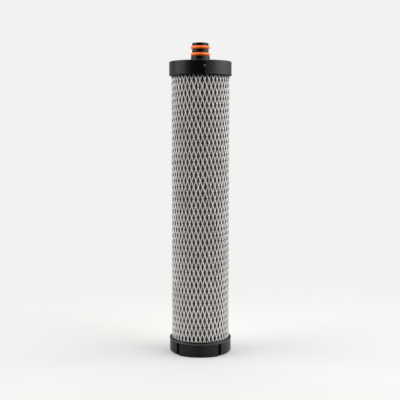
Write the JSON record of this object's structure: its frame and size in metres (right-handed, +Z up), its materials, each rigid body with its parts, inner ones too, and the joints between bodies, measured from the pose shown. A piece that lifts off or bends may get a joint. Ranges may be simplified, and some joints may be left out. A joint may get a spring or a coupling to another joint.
{
  "type": "inline water filter",
  "caption": "Netted carbon block water filter cartridge with moulded end caps, and a hollow spigot sealed by two orange rings for an inline housing.",
  "frame": {"origin": "centre of the bottom cap's foot, on the surface that the cartridge stands on", "axes": "+Z up along the cartridge's axis towards the spigot, -Y towards the viewer and the front grip pad, +X to the right"},
  "size_m": [0.0506, 0.0506, 0.251],
  "materials": {
    "cap_plastic": "black moulded polypropylene, satin",
    "seal_rubber": "orange silicone rubber, lightly greased",
    "net_plastic": "extruded polyethylene netting, translucent greyish white",
    "carbon": "dark brown-black carbon granules bonded with a plastic binder, rough",
    "felt": "white spun polypropylene felt",
    "core_plastic": "natural white moulded polypropylene",
    "potting": "amber-white hot-melt adhesive, cast"
  },
  "bodies": {
    "root": {"bottom_cap": "cap_plastic", "bottom_potting": "potting", "core_tube": "core_plastic", "core_felt": "felt", "carbon_block": "carbon", "outer_net": "net_plastic", "top_potting": "potting", "top_cap": "cap_plastic", "lower_o_ring": "seal_rubber", "upper_o_ring": "seal_rubber"}
  },
  "joints": []
}
